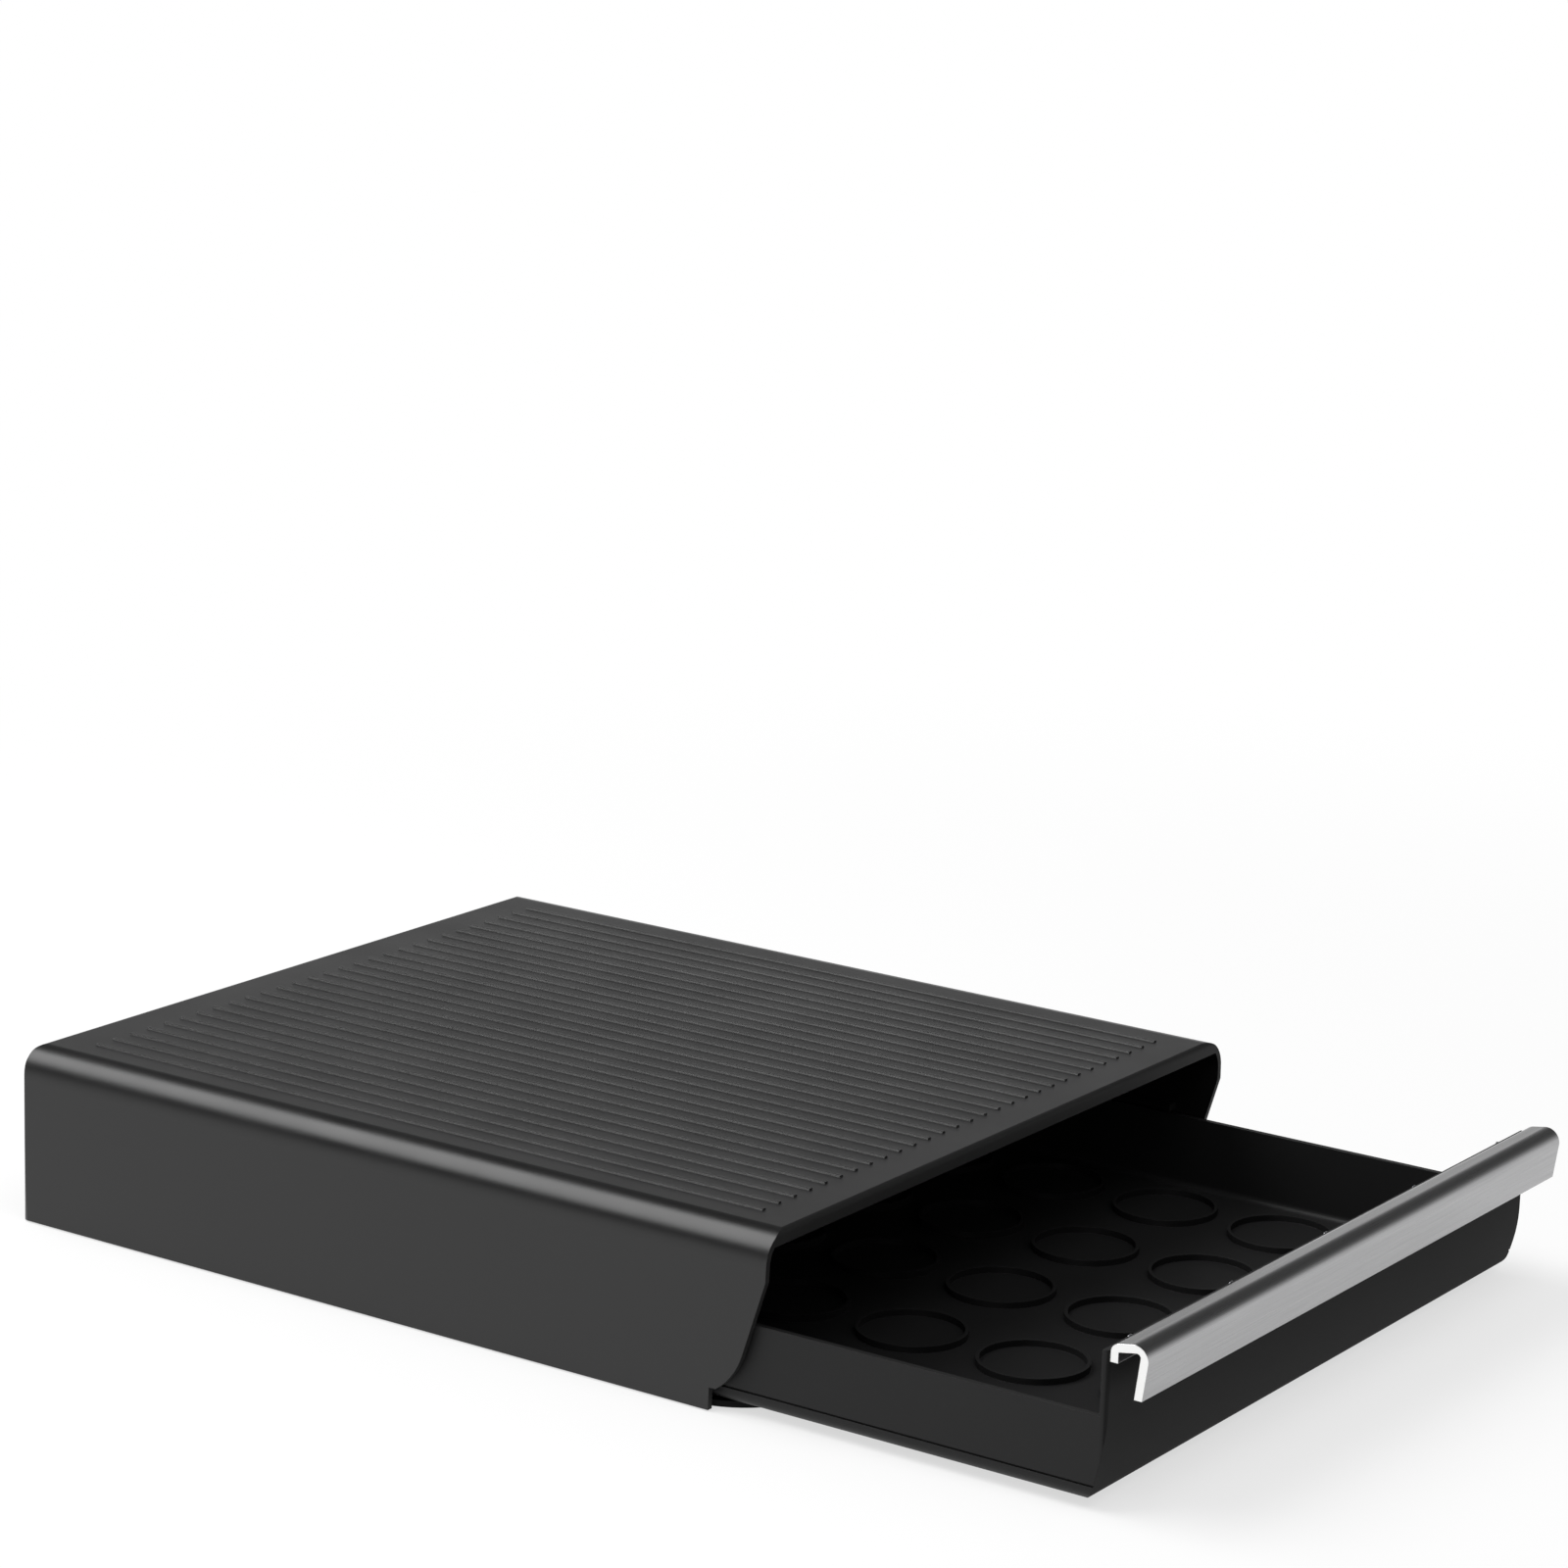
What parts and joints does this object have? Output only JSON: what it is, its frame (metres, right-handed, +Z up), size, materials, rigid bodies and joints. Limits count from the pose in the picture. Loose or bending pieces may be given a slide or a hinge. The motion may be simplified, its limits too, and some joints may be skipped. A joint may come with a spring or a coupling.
{
  "type": "coffee pod drawer",
  "caption": "Low black drawer for coffee pods. An open tray with a satin metal pull slides out of a housing whose ribbed top carries a coffee machine.",
  "frame": {"origin": "On the table, at the middle of the box round the whole part with its tray half open.", "axes": "+X to the right seen from the front, +Y to the back, +Z up. The tray slides out along -Y."},
  "size_m": [0.323, 0.5006, 0.0695],
  "materials": {
    "black_plastic": "fine satin grain",
    "black_rubber": "matte",
    "satin_aluminium": "satin, brushed lengthwise",
    "screw_steel": "zinc plated"
  },
  "bodies": {
    "housing_body": {"housing": "black_plastic", "back_panel": "black_plastic", "base_plate": "black_plastic", "front_left_foot": "black_rubber", "front_right_foot": "black_rubber", "back_left_foot": "black_rubber", "back_right_foot": "black_rubber", "back_panel_screws": "screw_steel"},
    "tray_body": {"tray": "black_plastic", "handle": "satin_aluminium", "handle_screws": "screw_steel", "left_stop_peg": "black_plastic", "right_stop_peg": "black_plastic"}
  },
  "joints": [
    {"name": "tray_slide", "type": "slide", "parent": "housing_body", "child": "tray_body", "axis": [0, -1, 0], "range_m": [-0.15, 0.13]}
  ]
}
